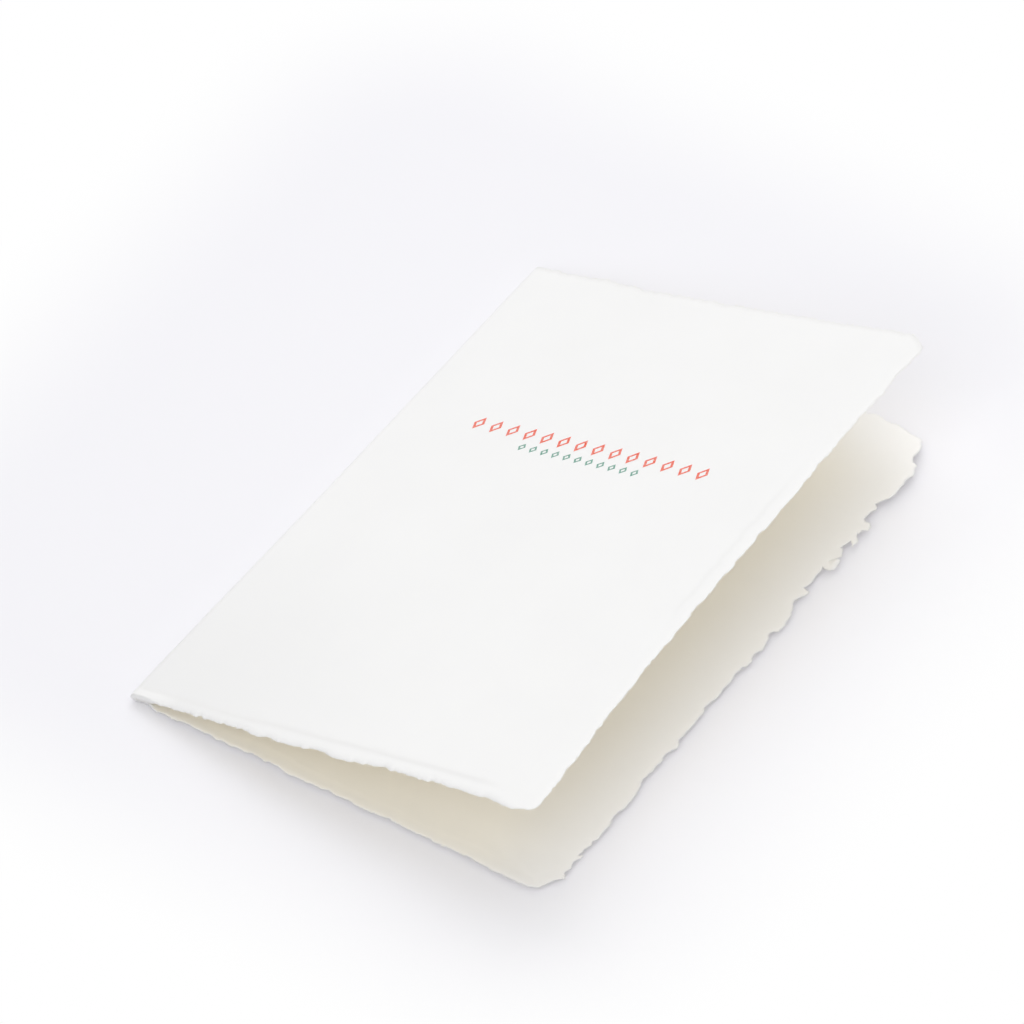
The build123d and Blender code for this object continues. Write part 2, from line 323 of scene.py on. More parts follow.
# Form. The leaf is cockled, which only shows as a slow change of light. The free edges of
# the back panel curl off the table, most towards the head, and one loose tongue of pulp
# curls more. The cover's foot edge is rolled down.
cockle_height = 0.12
back_cockle_share = 0.5
side_curl_width = 35
side_curl_start = panel_width - side_curl_width
side_curl_height = 1.2
head_curl_more = 1.0
foot_curl_width = 12
foot_curl_height = 1.25
tongue_place = (116.9, 121.3)
tongue_size = (0.9, 1.6)
tongue_height = 0.7
foot_roll_width = 1.8
foot_roll_height = 0.5
cockle = cockle_height * unevenness(flat, wavelength=42, seed=3.1)
cockle *= np.clip((across - 3) / 20, 0, 1)
cockle[on_back] = -abs(cockle[on_back]) * back_cockle_share
towards_side = np.clip((across - side_curl_start) / side_curl_width, 0, 1.05) ** 2
towards_head = np.clip((up - 100) / 55, 0, 1) ** 1.5
side_curl = towards_side * (side_curl_height + head_curl_more * towards_head)
foot_curl = foot_curl_height * np.clip(1 - up / foot_curl_width, 0, 1) ** 2
foot_curl *= past(across, 2, 12)
off_across = (across - tongue_place[0]) / tongue_size[0]
off_up = (up - tongue_place[1]) / tongue_size[1]
tongue_curl = tongue_height * np.exp(-off_across**2 - off_up**2)
foot_roll = foot_roll_height * np.clip(1 - depth / foot_roll_width, 0, 1) ** 2
foot_roll *= past(across, 3, 4)
foot_roll *= before(across, 114, 8)
foot_roll *= up < 4
lifted = np.where(on_back, np.maximum(side_curl, foot_curl) + tongue_curl, foot_roll)

# The fold springs rounder towards the foot. Inside it the crushed pulp swells, and at
# the two ends, where it frayed as well, it closes the fold.
bulge_height = 0.47
swelling_height = 0.6
fold_end = 2.2
closing_share = 0.97
fold_bulge = bulge_height * (1 - smooth(up / 90))
fold_bulge *= 1 - past(across, 2, 12)
fold_bulge *= past(flat[:, 0], -fold_outer_radius, fold_outer_radius)
opened = np.maximum(across - fold_outer_radius, 0) * sin(radians(foot_opening) / 2)
half_gap = fold_inner_radius + opened + fold_bulge
at_end = 1 - smooth(np.minimum(up, card_height - up) / fold_end - 0.1)
swelling = swelling_height * (1 - past(across, 1.2, 7))
swelling += (closing_share * half_gap - swelling) * at_end * (1 - past(across, 3.6, 4.2))

# Both faces are a little rippled, most of all where they are thin. The face that the card
# lies on never reaches below the table.
outer_face_ripple = 0.012
outer_torn_ripple = 0.035
inner_face_ripple = 0.015
inner_torn_ripple = 0.03
ripple = outer_face_ripple * unevenness(flat, wavelength=5, seed=7.7)
ripple += outer_torn_ripple * deckle * unevenness(flat, wavelength=1.3, seed=2.9)
middle = cockle - lifted + fold_bulge
outer = half + middle + ripple
outer[on_back] = np.minimum(outer[on_back], paper_thickness / 2)
inner = -half + middle - swelling
inner -= inner_face_ripple * unevenness(flat, wavelength=4.4, seed=12.7)
inner -= inner_torn_ripple * deckle * unevenness(flat, wavelength=1.2, seed=5.5)

# Body of the sheet: an outer and an inner face, and a rounded rim between them.
rim_bulge = 0.02
count = len(flat)
rim_number = np.full(count, -1)
rim_number[rim_points] = 2 * count + np.arange(len(rim_points))
outward = np.zeros((count, 2))
along = flat[torn[:, 1]] - flat[torn[:, 0]]
normal = np.stack([along[:, 1], -along[:, 0]], 1)
np.add.at(outward, torn[:, 0], normal)
np.add.at(outward, torn[:, 1], normal)
outward = outward[rim_points]
outward /= np.linalg.norm(outward, axis=1)[:, None]
rim_middle = (outer[rim_points] + inner[rim_points]) / 2
places = np.concatenate([
    np.column_stack([flat, outer]),
    np.column_stack([flat, inner]),
    np.column_stack([flat[rim_points] + rim_bulge * outward, rim_middle]),
])
a, b = torn.T
faces = triangles.tolist() + (triangles[:, ::-1] + count).tolist()
faces += np.stack([rim_number[a], rim_number[b], b, a], 1).tolist()
faces += np.stack([a + count, b + count, rim_number[b], rim_number[a]], 1).tolist()
leaf = bpy.data.meshes.new("flat_leaf")
leaf.from_pydata((places * mm).tolist(), [], faces)
leaf.shade_smooth()

# Places on the sheet, for the grain of the paper. The inner face is moved a metre aside, so
# that it doesn't repeat the outer one.
corners_at = np.zeros(len(leaf.loops), np.int32)
leaf.loops.foreach_get("vertex_index", corners_at)
sheet_map = places[corners_at, :2] * mm
sheet_map[3 * len(triangles):6 * len(triangles), 0] += 1
leaf.uv_layers.new(name="sheet").data.foreach_set("uv", sheet_map.astype(np.float32).ravel())

# Where the paper's tints go, from 0 to 1 on the outer and the inner face. The inner face takes
# warm painted light for the light bounced between the panels: lighter near the fold and away
# from the foot, and by the back's head corner, and darker painted shade towards the back's free
# edges. The back's underside along its torn edge takes a warm tint too. Painted shade darkens
# the cover towards the fold's foot, and the inside at the fold's ends. The band along the torn
# edges is painted lighter, for light through its thin pulp, with a painted highlight on the
# cover's lip by the fold, and painted shade lines on the cover where a shallow groove begins its
# band and along its head rim.
# Painted shade lines where a shallow groove begins the cover's band, and along the head rim.
lip_across = (4, 12, 20, 30, 40, 54, 70, 85)
lip_up = (2.4, 2.7, 2.6, 2.3, 3.0, 3.3, 3.7, 4.0)
lip_edge = np.interp(across, lip_across, lip_up)
foot_groove = np.exp(-((up - lip_edge) / 0.7) ** 2) * on_cover * (1 - past(across, 96, 10))
side_groove = 0.5 * np.exp(-((depth - 3.7) / 0.6) ** 2) * on_cover
side_groove *= past(up, 60, 15)
side_groove *= before(up, 125, 20)
head_rim_shade = (1 - smooth(depth / 1.3 - 0.3)) * on_cover * past(up, 166, 3)
groove = np.maximum(np.maximum(foot_groove, side_groove), head_rim_shade)
# Painted highlight on the cover's lip by the foot of the fold.
lip_highlight = (1 - past(across, 6, 8)) * (1 - smooth((up - lip_edge) / 0.6 + 0.8)) * on_cover
# Masks for the inside's painted light and shade: under the cover, and deep in the fold.
sheltered = before(across, 113, 22) * before(up, 170, 16)
deep = np.maximum(1 - past(across, 30, 55), past(up, 10, 60))
# Painted shade: the cover darker towards the fold's foot, the inside darker at the fold's ends.
corner_shade = smooth(1 - np.hypot(across, up) / 80)
end_of_fold_shade = 0.6 * at_end * (1 - past(across, 5, 3))
all_over = np.ones(count)
nowhere = np.zeros(count)
tints = {
    "inside": (np.where(on_back, deckle, 0), all_over),
    "sheltered": (nowhere, np.where(on_back, sheltered, 1)),
    "deep": (nowhere, np.where(on_back, deep, 1)),
    "bleached": (nowhere, on_back * past(up, 142, 24) * past(across, 84, 20)),
    "handled": (corner_shade, end_of_fold_shade),
    "whitened": (0.2 * deckle + 0.55 * lip_highlight, 0.2 * deckle),
    "groove": (groove, nowhere),
}
for name, (on_outer, on_inner) in tints.items():
    on_rim = ((on_outer + on_inner) / 2)[rim_points]
    values = np.concatenate([on_outer, on_inner, on_rim]).astype(np.float32)
    leaf.attributes.new(name, "FLOAT", "POINT").data.foreach_set("value", values)


# The crease. The leaf is scored down its middle and bent over a small radius, and the
# cover has sprung open a little, wider at the head than at the foot. The same bend takes
# whatever lies on the sheet with it.
def put(tree, kind, wires=(), **settings):
    """Adds a node, sets it, and links or fills its inputs by name or number."""
    node = tree.nodes.new(kind)
    for name, value in settings.items():
        setattr(node, name, value)
    for key, value in dict(wires).items():
        if isinstance(value, bpy.types.NodeSocket):
            tree.links.new(value, node.inputs[key])
        else:
            node.inputs[key].default_value = value
    return node


def reckon(tree, operation, *values):
    """Adds a math node and returns its result."""
    return put(tree, "ShaderNodeMath", enumerate(values), operation=operation).outputs[0]


def reckon_vector(tree, operation, *values):
    """Adds a vector math node and returns its result."""
    wires = enumerate(values)
    return put(tree, "ShaderNodeVectorMath", wires, operation=operation).outputs["Vector"]


def open_sockets(tree, inputs, outputs):
    """Gives a node tree its named inputs and outputs."""
    for name, kind in inputs:
        tree.interface.new_socket(name, in_out="INPUT", socket_type=kind)
    for name, kind in outputs:
        tree.interface.new_socket(name, in_out="OUTPUT", socket_type=kind)


crease = bpy.data.node_groups.new("crease", "GeometryNodeTree")
crease_inputs = [
    ("Outer Radius", "NodeSocketFloat"),
    ("Thickness", "NodeSocketFloat"),
    ("Foot Opening", "NodeSocketFloat"),
    ("Head Opening", "NodeSocketFloat"),
    ("Height", "NodeSocketFloat"),
    ("Fold Foot", "NodeSocketVector"),
]
sheet_input = ("Sheet", "NodeSocketGeometry")
open_sockets(crease, [sheet_input] + crease_inputs, [("Folded", "NodeSocketGeometry")])
given = put(crease, "NodeGroupInput").outputs
here = put(crease, "GeometryNodeInputPosition").outputs[0]
here = put(crease, "ShaderNodeSeparateXYZ", {0: here}).outputs
wider = reckon(crease, "SUBTRACT", given["Head Opening"], given["Foot Opening"])
up_share = reckon(crease, "DIVIDE", here["Y"], given["Height"])
opening = reckon(crease, "MULTIPLY_ADD", wider, up_share, given["Foot Opening"])
round_share = reckon(crease, "DIVIDE", here["X"], given["Outer Radius"])
round_share = reckon(crease, "MAXIMUM", reckon(crease, "MINIMUM", round_share, 1.0), -1.0)
half_turn = reckon(crease, "MULTIPLY_ADD", opening, -0.5, pi / 2)
turned = reckon(crease, "MULTIPLY", round_share, half_turn)
facing = reckon(crease, "SUBTRACT", reckon(crease, "MULTIPLY_ADD", opening, 0.5, pi), turned)
bent_away = reckon(crease, "MULTIPLY", round_share, given["Outer Radius"])
straight = reckon(crease, "SUBTRACT", here["X"], bent_away)
middle = reckon(crease, "MULTIPLY_ADD", given["Thickness"], -0.5, given["Outer Radius"])
reach = reckon(crease, "ADD", middle, here["Z"])
cosine = reckon(crease, "COSINE", facing)
sine = reckon(crease, "SINE", facing)
centre_x = reckon(crease, "MULTIPLY_ADD", straight, sine, given["Outer Radius"])
new_x = reckon(crease, "MULTIPLY_ADD", reach, cosine, centre_x)
dropped = reckon(crease, "MULTIPLY", straight, cosine)
centre_z = reckon(crease, "SUBTRACT", given["Outer Radius"], dropped)
new_z = reckon(crease, "MULTIPLY_ADD", reach, sine, centre_z)
bent = put(crease, "ShaderNodeCombineXYZ", {"X": new_x, "Y": here["Y"], "Z": new_z}).outputs[0]
placed = reckon_vector(crease, "ADD", bent, given["Fold Foot"])
moved = {"Geometry": given["Sheet"], "Position": placed}
moved = put(crease, "GeometryNodeSetPosition", moved).outputs[0]
put(crease, "NodeGroupOutput", {"Folded": moved})

crease_sizes = {
    "Outer Radius": fold_outer_radius * mm,
    "Thickness": paper_thickness * mm,
    "Foot Opening": radians(foot_opening),
    "Head Opening": radians(head_opening),
    "Height": card_height * mm,
    "Fold Foot": (cad_low.x, foot_line, 0),
}
fold_inputs = crease_inputs + [("Finish", "NodeSocketMaterial")]


def folded(tree, flat_work, given):
    """Adds to a tree the steps from flat work to a piece that is folded and finished."""
    real = put(tree, "GeometryNodeRealizeInstances", {0: flat_work}).outputs[0]
    wires = {"Sheet": real, **{name: given[name] for name in crease_sizes}}
    bent = put(tree, "GeometryNodeGroup", wires, node_tree=crease).outputs[0]
    wires = {"Geometry": bent, "Material": given["Finish"]}
    return put(tree, "GeometryNodeSetMaterial", wires).outputs[0]


def made(name, tree, values, mesh):
    """Runs a geometry tree with its values and keeps the result as a plain mesh object."""
    piece = bpy.data.objects.new(name, mesh)
    bpy.context.scene.collection.objects.link(piece)
    maker = piece.modifiers.new("maker", "NODES")
    maker.node_group = tree
    for socket in tree.interface.items_tree:
        if socket.in_out == "INPUT" and socket.name in values:
            maker[socket.identifier] = values[socket.name]
    ready = piece.evaluated_get(bpy.context.evaluated_depsgraph_get())
    piece.data = bpy.data.meshes.new_from_object(ready)
    piece.data.name = name
    piece.modifiers.remove(maker)
    return piece


# Paper. Cotton pulp, cream white and unsized, couched on a wool felt: its surface has the
# felt's soft pits and long fibres lying in all directions. Its outer face is a near-neutral
# white; the warm tints of its inside are painted light bounced between the panels.
def mapped(tree, value, old, new=(0.0, 1.0), curve="LINEAR"):
    """Adds a node that carries one range of values over to another."""
    wires = {"Value": value, "From Min": old[0], "From Max": old[1]}
    wires.update({"To Min": new[0], "To Max": new[1]})
    return put(tree, "ShaderNodeMapRange", wires, interpolation_type=curve).outputs[0]


def blend(tree, share, first, second):
    """Adds a mix of two colours, each a value or a socket, and returns its result."""
    mix = put(tree, "ShaderNodeMix", {"Factor": share}, data_type="RGBA")
    for name, colour in (("A", first), ("B", second)):
        socket = next(i for i in mix.inputs if i.name == name and i.type == "RGBA")
        if isinstance(colour, bpy.types.NodeSocket):
            tree.links.new(colour, socket)
        else:
            socket.default_value = colour
    return next(o for o in mix.outputs if o.type == "RGBA")


def bare_finish(name):
    """A new material, and its node tree with nothing in it yet."""
    finish = bpy.data.materials.new(name)
    finish.use_nodes = True
    finish.node_tree.nodes.clear()
    return finish, finish.node_tree


cloud_scale = 45.0
fibre_turns = (0.3, 1.4, 2.5)
fibre_stretch = (1, 0.35, 1)
fibre_line = 0.012
fibre_relief = 0.25
grain = bpy.data.node_groups.new("pulp", "ShaderNodeTree")
open_sockets(
    grain,
    [
        ("Place", "NodeSocketVector"),
        ("Felt Size", "NodeSocketFloat"),
        ("Fibre Size", "NodeSocketFloat"),
    ],
    [
        ("Height", "NodeSocketFloat"),
        ("Fibres", "NodeSocketFloat"),
        ("Clouds", "NodeSocketFloat"),
    ],
)
given = put(grain, "NodeGroupInput").outputs
felt = {"Vector": given["Place"], "Detail": 3.0}
felt["Scale"] = reckon(grain, "DIVIDE", 1.0, given["Felt Size"])
felt = put(grain, "ShaderNodeTexNoise", felt).outputs[0]
clouds = {"Vector": given["Place"], "Scale": cloud_scale, "Detail": 2.0}
clouds = put(grain, "ShaderNodeTexNoise", clouds).outputs[0]
fibre_scale = reckon(grain, "DIVIDE", 1.0, given["Fibre Size"])
layers = []
for turn in fibre_turns:
    laid = {"Vector": given["Place"], "Scale": fibre_stretch}
    laid.update({"Location": (turn, turn, 0), "Rotation": (0, 0, turn)})
    laid = put(grain, "ShaderNodeMapping", laid).outputs[0]
    swirl = {"Vector": laid, "Scale": fibre_scale, "Detail": 1.0}
    swirl = put(grain, "ShaderNodeTexNoise", swirl).outputs[0]
    level = reckon(grain, "ABSOLUTE", reckon(grain, "SUBTRACT", swirl, 0.5))
    layers.append(mapped(grain, level, (0.0, fibre_line), (1.0, 0.0), "SMOOTHSTEP"))
fibres = reckon(grain, "MAXIMUM", reckon(grain, "MAXIMUM", layers[0], layers[1]), layers[2])
height = reckon(grain, "MULTIPLY_ADD", fibres, fibre_relief, felt)
put(grain, "NodeGroupOutput", {"Height": height, "Fibres": fibres, "Clouds": clouds})

paper_cream = (0.908, 0.906, 0.902, 1)
paper_white = (0.920, 0.918, 0.914, 1)
# Tints of painted light and shade for the inner face: warm bounced light, lighter deep inside and
# at the back's head corner, darker towards the back's free edges.
cream_and_bounce_tint = (0.94, 0.912, 0.838, 1)
deep_bounce_light = (0.995, 0.967, 0.89, 1)
open_edge_shade = (0.89, 0.878, 0.85, 1)
corner_light_tint = (0.935, 0.929, 0.918, 1)
# Painted shade by the fold's foot and at the fold's ends.
fold_shade_grey = (0.865, 0.863, 0.861, 1)
# Painted shade for the groove lines and the head rim; its strength is set below.
groove_shade = (0.85, 0.846, 0.84, 1)
# Painted light on the thin band round the torn edges, for light through its pulp.
deckle_light = (0.955, 0.952, 0.944, 1)
line_shade_strength = 0.85
paper, tree = bare_finish("cotton_paper")
on_sheet = put(tree, "ShaderNodeUVMap", uv_map="sheet").outputs[0]
pulp = {"Place": on_sheet, "Felt Size": 1.3 * mm, "Fibre Size": 3.5 * mm}
pulp = put(tree, "ShaderNodeGroup", pulp, node_tree=grain).outputs
where = {name: put(tree, "ShaderNodeAttribute", attribute_name=name) for name in tints}
where = {name: node.outputs["Fac"] for name, node in where.items()}
# The inner face's colour is painted light: warm bounced light, lighter deep inside, darker towards
# the back's free edges.
inner_face_tint = blend(tree, where["deep"], cream_and_bounce_tint, deep_bounce_light)
inner_face_tint = blend(tree, where["sheltered"], open_edge_shade, inner_face_tint)
inner_face_tint = blend(tree, where["bleached"], inner_face_tint, corner_light_tint)
# Painted shade lines at the groove and along the head rim.
line_shade_share = reckon(tree, "MULTIPLY", where["groove"], line_shade_strength)
colour = blend(tree, mapped(tree, pulp["Clouds"], (0.3, 0.7)), paper_cream, paper_white)
colour = blend(tree, where["inside"], colour, inner_face_tint)
# Painted shade, darker towards the fold's foot and at the fold's ends.
colour = blend(tree, where["handled"], colour, fold_shade_grey)
colour = blend(tree, line_shade_share, colour, groove_shade)
# Painted light on the thin edge band, and a painted highlight on the lip by the fold.
colour = blend(tree, where["whitened"], colour, deckle_light)
bump = {"Strength": 0.5, "Distance": 0.03 * mm, "Height": pulp["Height"]}
bump = put(tree, "ShaderNodeBump", bump).outputs[0]
rough = mapped(tree, pulp["Fibres"], (0.0, 1.0), (0.92, 0.75))
skin = {"Base Color": colour, "Specular IOR Level": 0.25, "Roughness": rough, "Normal": bump}
skin = put(tree, "ShaderNodeBsdfPrincipled", skin).outputs[0]
put(tree, "ShaderNodeOutputMaterial", {"Surface": skin})

fold_leaf = bpy.data.node_groups.new("fold_leaf", "GeometryNodeTree")
leaf_input = ("Leaf", "NodeSocketGeometry")
open_sockets(fold_leaf, [leaf_input] + fold_inputs, [("Card", "NodeSocketGeometry")])
given = put(fold_leaf, "NodeGroupInput").outputs
put(fold_leaf, "NodeGroupOutput", {"Card": folded(fold_leaf, given["Leaf"], given)})

card = made("card_sheet", fold_leaf, {**crease_sizes, "Finish": paper}, leaf)
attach(card, "root")
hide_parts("card")

# Loose fibres. Where the wet sheet was torn, single cotton hairs stand out of its edge. They
# are fine and tapered, fan out to both sides, differ in length, and lie nearly flat.
clear_of_fold = 6.0
on_tear = abs(flat[rim_points, 0]) > clear_of_fold
tear = bpy.data.meshes.new("tear")
tear.from_pydata((places[2 * count:][on_tear] * mm).tolist(), [], [])
from_sheet = np.column_stack([outward, 0 * rim_middle])[on_tear].astype(np.float32).ravel()
tear.attributes.new("outward", "FLOAT_VECTOR", "POINT").data.foreach_set("vector", from_sheet)

fringe = bpy.data.node_groups.new("fibre_fringe", "GeometryNodeTree")
hair_inputs = [
    ("Tear", "NodeSocketGeometry"),
    ("Share", "NodeSocketFloat"),
    ("Length", "NodeSocketFloat"),
    ("Shortest", "NodeSocketFloat"),
    ("Girth", "NodeSocketFloat"),
    ("Bend", "NodeSocketFloat"),
    ("Splay", "NodeSocketVector"),
    ("Seed", "NodeSocketInt"),
]
open_sockets(fringe, hair_inputs + fold_inputs, [("Fringe", "NodeSocketGeometry")])
given = put(fringe, "NodeGroupInput").outputs
seed = given["Seed"]
hair = {"Vertices": 4, "Side Segments": 3, "Depth": given["Length"]}
hair.update({"Radius Top": 0.0, "Radius Bottom": given["Girth"]})
hair = put(fringe, "GeometryNodeMeshCone", hair).outputs["Mesh"]
spot = put(fringe, "GeometryNodeInputPosition").outputs[0]
tall = put(fringe, "ShaderNodeSeparateXYZ", {0: spot}).outputs["Z"]
aside = reckon(fringe, "MULTIPLY", reckon(fringe, "MULTIPLY", tall, tall), given["Bend"])
aside = put(fringe, "ShaderNodeCombineXYZ", {"X": aside}).outputs[0]
hair = put(fringe, "GeometryNodeSetPosition", {"Geometry": hair, "Offset": aside}).outputs[0]
chosen = {"Probability": given["Share"], "Seed": seed}
chosen = put(fringe, "FunctionNodeRandomValue", chosen, data_type="BOOLEAN").outputs[3]
back_splay = reckon_vector(fringe, "MULTIPLY", given["Splay"], (-1, -1, -1))
wayward = {0: back_splay, 1: given["Splay"], "Seed": seed}
wayward = put(fringe, "FunctionNodeRandomValue", wayward, data_type="FLOAT_VECTOR").outputs[0]
out = {"Name": "outward"}
out = put(fringe, "GeometryNodeInputNamedAttribute", out, data_type="FLOAT_VECTOR").outputs[0]
way = {"Vector": reckon_vector(fringe, "ADD", out, wayward)}
turned = put(fringe, "FunctionNodeAlignRotationToVector", way, axis="Z").outputs[0]
length = {2: given["Shortest"], "Seed": seed}
length = put(fringe, "FunctionNodeRandomValue", length, data_type="FLOAT").outputs[1]
length = put(fringe, "ShaderNodeCombineXYZ", {"X": 1.0, "Y": 1.0, "Z": length}).outputs[0]
hairs = {
    "Points": given["Tear"],
    "Selection": chosen,
    "Instance": hair,
    "Rotation": turned,
    "Scale": length,
}
hairs = put(fringe, "GeometryNodeInstanceOnPoints", hairs).outputs[0]
put(fringe, "NodeGroupOutput", {"Fringe": folded(fringe, hairs, given)})

hair_white, tree = bare_finish("cotton_hair")
place = put(tree, "ShaderNodeTexCoord").outputs["Object"]
pulp = {"Place": place, "Felt Size": 0.6 * mm, "Fibre Size": 2.0 * mm}
pulp = put(tree, "ShaderNodeGroup", pulp, node_tree=grain).outputs
shade = blend(tree, pulp["Height"], cream_and_bounce_tint, paper_white)
skin = {"Base Color": shade, "Specular IOR Level": 0.25, "Roughness": 0.8}
skin = put(tree, "ShaderNodeBsdfPrincipled", skin).outputs[0]
put(tree, "ShaderNodeOutputMaterial", {"Surface": skin})

hair_sizes = {
    "Share": 0.5,
    "Length": 0.9 * mm,
    "Shortest": 0.3,
    "Girth": 0.04 * mm,
    "Bend": 260.0,
    "Splay": (0.9, 0.9, 0.04),
    "Seed": 4,
    "Finish": hair_white,
}
loose_fibres = made("torn_fibres", fringe, {**crease_sizes, **hair_sizes}, tear)
loose_fibres.data.shade_smooth()
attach(loose_fibres, "root")

# Print. Two rows of small ornaments on the cover, in two inks laid on thinly and a little
# unevenly: slanted open lozenges in orange red, and shorter ones in sea green below.
print_rows = {
    "print_orange": {
        "ink": (0.83, 0.105, 0.045, 1), "first": 23.4, "last": 89.0, "count": 14,
        "middle": 112.0, "tall": 4.7, "wide": 2.9, "stroke": 0.58,
    },
    "print_green": {
        "ink": (0.10, 0.33, 0.24, 1), "first": 39.4, "last": 72.4, "count": 11,
        "middle": 107.3, "tall": 2.7, "wide": 1.9, "stroke": 0.4,
    },
}
ink_thickness = 0.04
slant = 0.25
paper_shows = 0.25


def lozenge(name, tall, wide, stroke):
    """An open lozenge of even stroke, leaning to the right, as a closed thin plate."""
    hole = 1 - stroke * (wide**2 + tall**2) ** 0.5 * 2 / (wide * tall)
    tips = [(0, -0.5), (0.5, 0), (0, 0.5), (-0.5, 0)]
    rings = []
    for share, side in ((1, 1), (hole, 1), (1, -1), (hole, -1)):
        for right, high in tips:
            x = share * (wide * right + slant * tall * high)
            y = share * tall * high
            z = side * ink_thickness / 2
            rings.append((x * mm, y * mm, z * mm))
    sides = []
    for i in range(4):
        j = (i + 1) % 4
        sides += [(i, j, 4 + j, 4 + i), (8 + j, 8 + i, 12 + i, 12 + j)]
        sides += [(8 + i, 8 + j, j, i), (4 + i, 4 + j, 12 + j, 12 + i)]
    plate = bpy.data.meshes.new(name)
    plate.from_pydata(rings, [], sides)
    return plate


rows = bpy.data.node_groups.new("ornament_row", "GeometryNodeTree")
row_inputs = [
    ("Ornament", "NodeSocketGeometry"),
    ("Paper", "NodeSocketObject"),
    ("Count", "NodeSocketInt"),
    ("First", "NodeSocketVector"),
    ("Pitch", "NodeSocketVector"),
    ("Clearance", "NodeSocketFloat"),
]
open_sockets(rows, row_inputs + fold_inputs, [("Row", "NodeSocketGeometry")])
given = put(rows, "NodeGroupInput").outputs
line = {"Count": given["Count"], "Start Location": given["First"], "Offset": given["Pitch"]}
line = put(rows, "GeometryNodeMeshLine", line).outputs[0]
stamped = {"Points": line, "Instance": given["Ornament"]}
stamped = put(rows, "GeometryNodeInstanceOnPoints", stamped).outputs[0]
stamped = put(rows, "GeometryNodeRealizeInstances", {0: stamped}).outputs[0]
spot = put(rows, "GeometryNodeInputPosition").outputs[0]
above = put(rows, "ShaderNodeCombineXYZ", {"Z": given["Clearance"]}).outputs[0]
fall = {"Source Position": reckon_vector(rows, "ADD", spot, above), "Ray Direction": (0, 0, -1)}
surface = put(rows, "GeometryNodeObjectInfo", {"Object": given["Paper"]})
fall["Target Geometry"] = surface.outputs["Geometry"]
level = put(rows, "GeometryNodeRaycast", fall).outputs["Hit Position"]
level = put(rows, "ShaderNodeSeparateXYZ", {0: level}).outputs["Z"]
lift = put(rows, "ShaderNodeCombineXYZ", {"Z": level}).outputs[0]
laid_on = {"Geometry": stamped, "Offset": lift}
laid_on = put(rows, "GeometryNodeSetPosition", laid_on).outputs[0]
put(rows, "NodeGroupOutput", {"Row": folded(rows, laid_on, given)})


def ink_finish(name, colour):
    """Ink as pressed into paper: matt, uneven in strength, and following the pulp."""
    ink, tree = bare_finish(name)
    place = put(tree, "ShaderNodeTexCoord").outputs["Object"]
    pulp = {"Place": place, "Felt Size": 0.5 * mm, "Fibre Size": 2.0 * mm}
    pulp = put(tree, "ShaderNodeGroup", pulp, node_tree=grain).outputs
    inks = zip(colour[:3], paper_white[:3])
    thin = [(1 - paper_shows) * c + paper_shows * w for c, w in inks] + [1]
    mixed = blend(tree, mapped(tree, pulp["Height"], (0.35, 0.75)), thin, colour)
    bump = {"Strength": 0.5, "Distance": 0.02 * mm, "Height": pulp["Height"]}
    bump = put(tree, "ShaderNodeBump", bump).outputs[0]
    skin = {"Base Color": mixed, "Specular IOR Level": 0.3, "Roughness": 0.7, "Normal": bump}
    skin = put(tree, "ShaderNodeBsdfPrincipled", skin).outputs[0]
    put(tree, "ShaderNodeOutputMaterial", {"Surface": skin})
    return ink


flat_sheet = bpy.data.objects.new("flat_sheet", leaf)
bpy.context.scene.collection.objects.link(flat_sheet)
for name, row in print_rows.items():
    pitch = (row["last"] - row["first"]) / (row["count"] - 1)
    values = {
        **crease_sizes,
        "Finish": ink_finish(name + "_ink", row["ink"]),
        "Paper": flat_sheet,
        "Count": row["count"],
        "First": (row["first"] * mm, row["middle"] * mm, 0),
        "Pitch": (pitch * mm, 0, 0),
        "Clearance": 5 * mm,
    }
    ornament = lozenge(name, row["tall"], row["wide"], row["stroke"])
    print_piece = made(name, rows, values, ornament)
    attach(print_piece, "root")
bpy.data.objects.remove(flat_sheet)

# The table top that the card lies on: plain, matt and nearly white, with a faint warm light
# from beneath. It is shaded in a rounded patch round the card, and runs out to pure white
# away from it.
floor_size = 6.0
floor_drop = 0.05 * mm
patch_middle = (-0.032, 0.0175, 0)
patch_half = (0.069, 0.0835, 1)
fade_start = 0.018
fade_end = 0.078
table_white = (0.845, 0.843, 0.881, 1)
glow_white = (1, 0.95, 0.83, 1)
glow_strength = 0.055
pure_white = (1, 1, 1, 1)
floor = bpy.data.objects.new("table_top", bpy.data.meshes.new("table_top"))
corners = [
    (x * floor_size / 2, y * floor_size / 2, -floor_drop)
    for x, y in ((-1, -1), (1, -1), (1, 1), (-1, 1))
]
floor.data.from_pydata(corners, [], [(0, 1, 2, 3)])
bpy.context.scene.collection.objects.link(floor)
table, tree = bare_finish("table_white")
place = put(tree, "ShaderNodeTexCoord").outputs["Object"]
from_middle = reckon_vector(tree, "SUBTRACT", place, patch_middle)
from_middle = reckon_vector(tree, "ABSOLUTE", from_middle)
outside = reckon_vector(tree, "SUBTRACT", from_middle, patch_half)
outside = reckon_vector(tree, "MAXIMUM", outside, (0, 0, 0))
away = put(tree, "ShaderNodeVectorMath", {0: outside}, operation="LENGTH").outputs["Value"]
fade = mapped(tree, away, (fade_start, fade_end), curve="SMOOTHSTEP")
path = put(tree, "ShaderNodeLightPath").outputs
seen = reckon(tree, "MAXIMUM", path["Is Camera Ray"], path["Is Glossy Ray"])
fade = reckon(tree, "MULTIPLY", fade, seen)
matt = put(tree, "ShaderNodeBsdfDiffuse", {"Color": table_white}).outputs[0]
glow = {"Color": glow_white, "Strength": glow_strength}
glow = put(tree, "ShaderNodeEmission", glow).outputs[0]
matt = put(tree, "ShaderNodeAddShader", {0: matt, 1: glow}).outputs[0]
white = put(tree, "ShaderNodeEmission", {"Color": pure_white, "Strength": 1.0}).outputs[0]
both = put(tree, "ShaderNodeMixShader", {0: fade, 1: matt, 2: white}).outputs[0]
put(tree, "ShaderNodeOutputMaterial", {"Surface": both})
floor.data.materials.append(table)

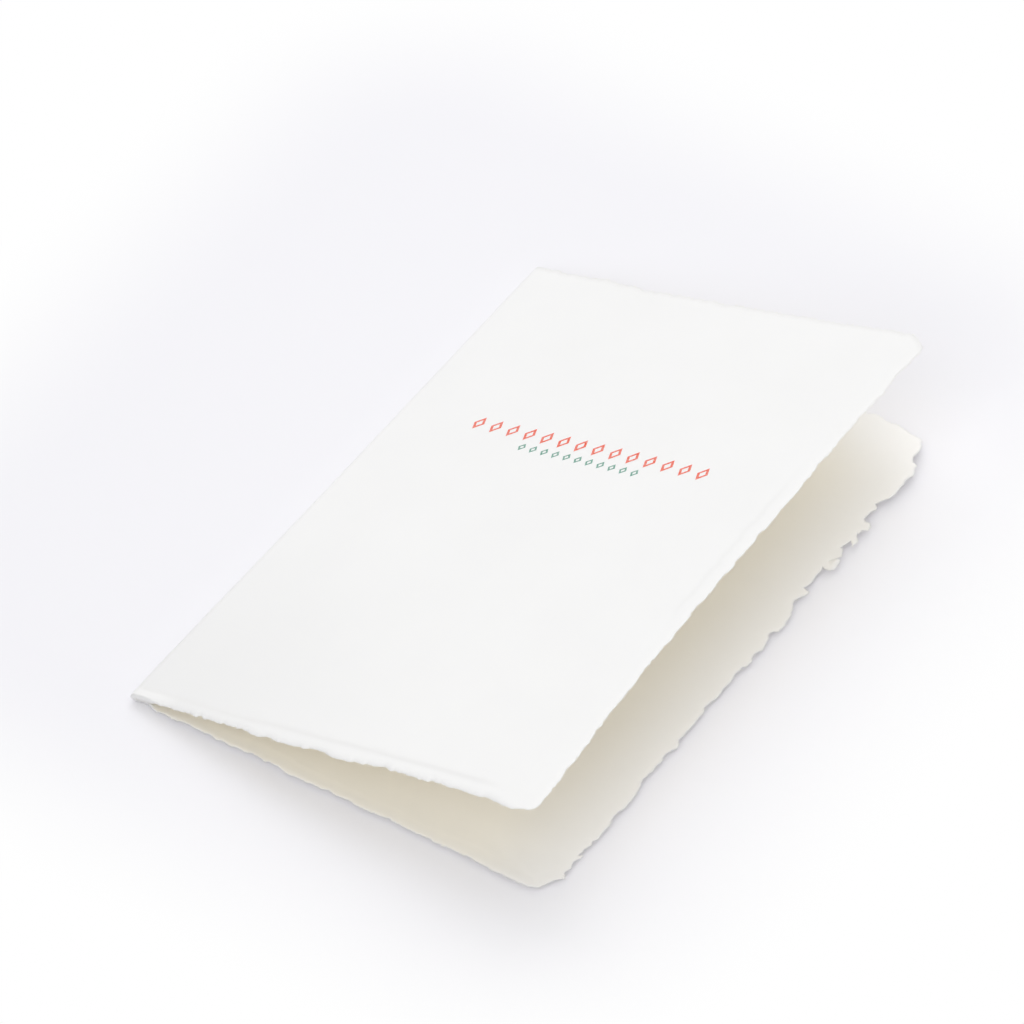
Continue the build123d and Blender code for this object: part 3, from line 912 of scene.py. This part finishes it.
# Studio light: a white tent all round that gives a third of the light, and five large
# soft lamps hung in it. The strongest stand before the card's foot and behind its fold.
# Light goes back and forth many times between the white cover and the white back.
tent_light = 0.34
lamp_size = 1.3
lamps = {
    "foot_lamp": ((0.3, -1.2, 1.2), 9.3),
    "fold_lamp": ((-0.8, 0.9, 1.2), 8.8),
    "head_lamp": ((0.0, 1.2, 1.2), 4.2),
    "side_lamp": ((1.2, 0.2, 1.2), 3.5),
    "top_lamp": ((0.0, 0.0, 1.6), 4.7),
}
bpy.context.scene.cycles.diffuse_bounces = 8
bpy.context.scene.cycles.max_bounces = 16
sky = bpy.data.worlds.new("white_tent")
bpy.context.scene.world = sky
sky.use_nodes = True
tree = sky.node_tree
tree.nodes.clear()
seen = put(tree, "ShaderNodeLightPath").outputs["Is Camera Ray"]
dim = put(tree, "ShaderNodeBackground", {"Color": pure_white, "Strength": tent_light}).outputs[0]
bright = put(tree, "ShaderNodeBackground", {"Color": pure_white, "Strength": 1.0}).outputs[0]
both = put(tree, "ShaderNodeMixShader", {0: seen, 1: dim, 2: bright}).outputs[0]
put(tree, "ShaderNodeOutputWorld", {"Surface": both})

for name, (place, watts) in lamps.items():
    softbox = bpy.data.lights.new(name, "AREA")
    softbox.shape = "SQUARE"
    softbox.size = lamp_size
    softbox.energy = watts
    lamp = bpy.data.objects.new(name, softbox)
    lamp.location = place
    lamp.rotation_euler = (-Vector(place)).to_track_quat("-Z", "Y").to_euler()
    bpy.context.scene.collection.objects.link(lamp)

# The camera stands well back with a long lens, and looks down on the card's foot corner.
# It aims at a point to the right of the foot of the fold and above it in the picture.
camera_azimuth = radians(35.99)
camera_elevation = radians(45.15)
camera_roll = radians(-3.35)
camera_distance = 1.4262
aim_right = 0.0881
aim_up = 0.0439
sensor_width = 36
lens_per_width = 6146 / 1024
back_way = Vector((
    sin(camera_azimuth) * cos(camera_elevation),
    -cos(camera_azimuth) * cos(camera_elevation),
    sin(camera_elevation),
))
right = (-back_way).cross(Vector((0, 0, 1))).normalized()
upward = back_way.cross(right)
rolled_right = cos(camera_roll) * right + sin(camera_roll) * upward
rolled_up = cos(camera_roll) * upward - sin(camera_roll) * right
fold_foot = Vector((cad_low.x, foot_line, 0))
aim = fold_foot + aim_right * rolled_right + aim_up * rolled_up
lens = bpy.data.cameras.new("camera")
lens.sensor_width = sensor_width
lens.lens = sensor_width * lens_per_width
camera = bpy.data.objects.new("camera", lens)
turned = Matrix((rolled_right, rolled_up, back_way)).transposed().to_4x4()
camera.matrix_world = Matrix.Translation(aim + camera_distance * back_way) @ turned
bpy.context.scene.collection.objects.link(camera)
bpy.context.scene.camera = camera
bpy.context.scene.view_settings.view_transform = "Standard"
